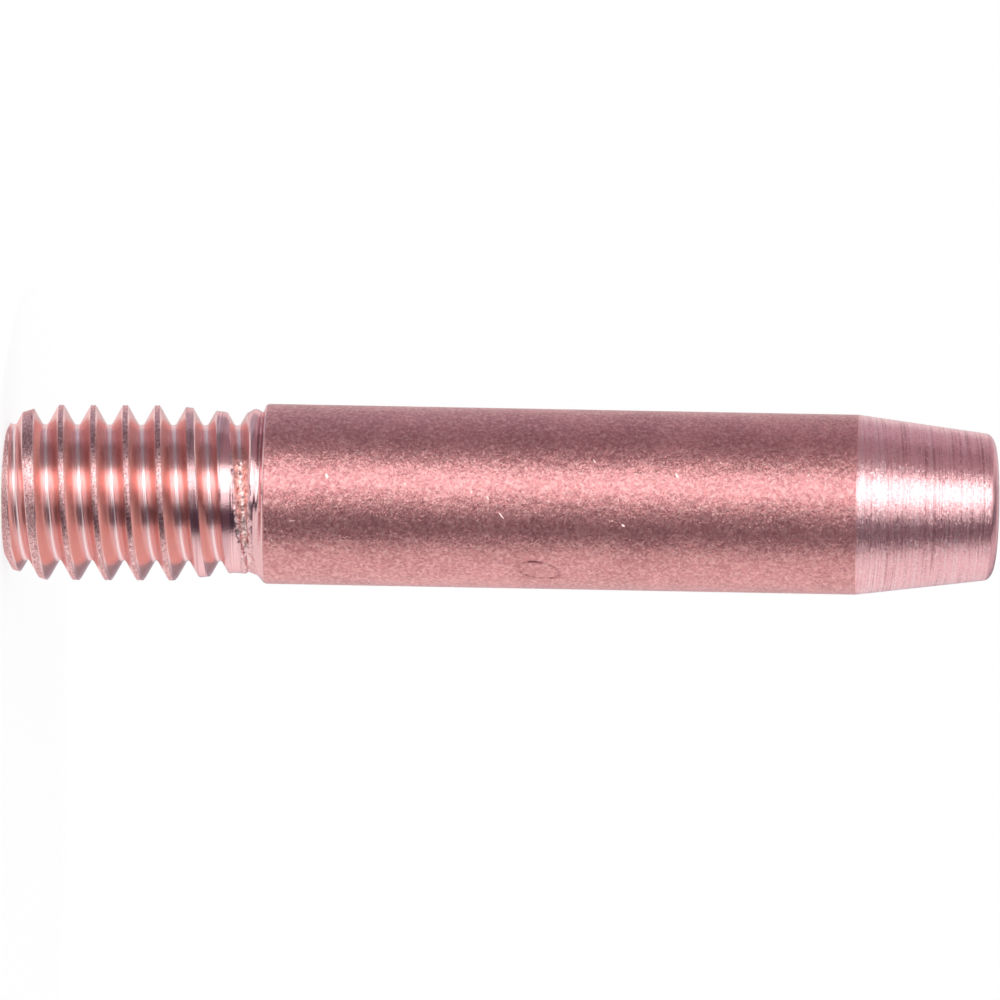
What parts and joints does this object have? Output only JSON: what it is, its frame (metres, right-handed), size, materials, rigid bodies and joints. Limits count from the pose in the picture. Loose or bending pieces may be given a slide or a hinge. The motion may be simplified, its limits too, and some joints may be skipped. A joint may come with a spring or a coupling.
{
  "type": "welding contact tip",
  "caption": "Turned copper contact tip with a threaded shank, a conical seat, a plain round body, a tapered nose and a through bore that guides welding wire and passes current to it.",
  "frame": {"origin": "centre of the flat thread end, on the axis of the wire bore", "axes": "+Z along the axis from the thread end to the nose; the tip stands on its thread end, and the thread groove keeps its full depth up to the -X side before it runs out into the neck"},
  "size_m": [0.008, 0.008, 0.0435],
  "materials": {
    "copper": "satin drawn copper"
  },
  "bodies": {
    "root": {"contact_tip": "copper"}
  },
  "joints": []
}
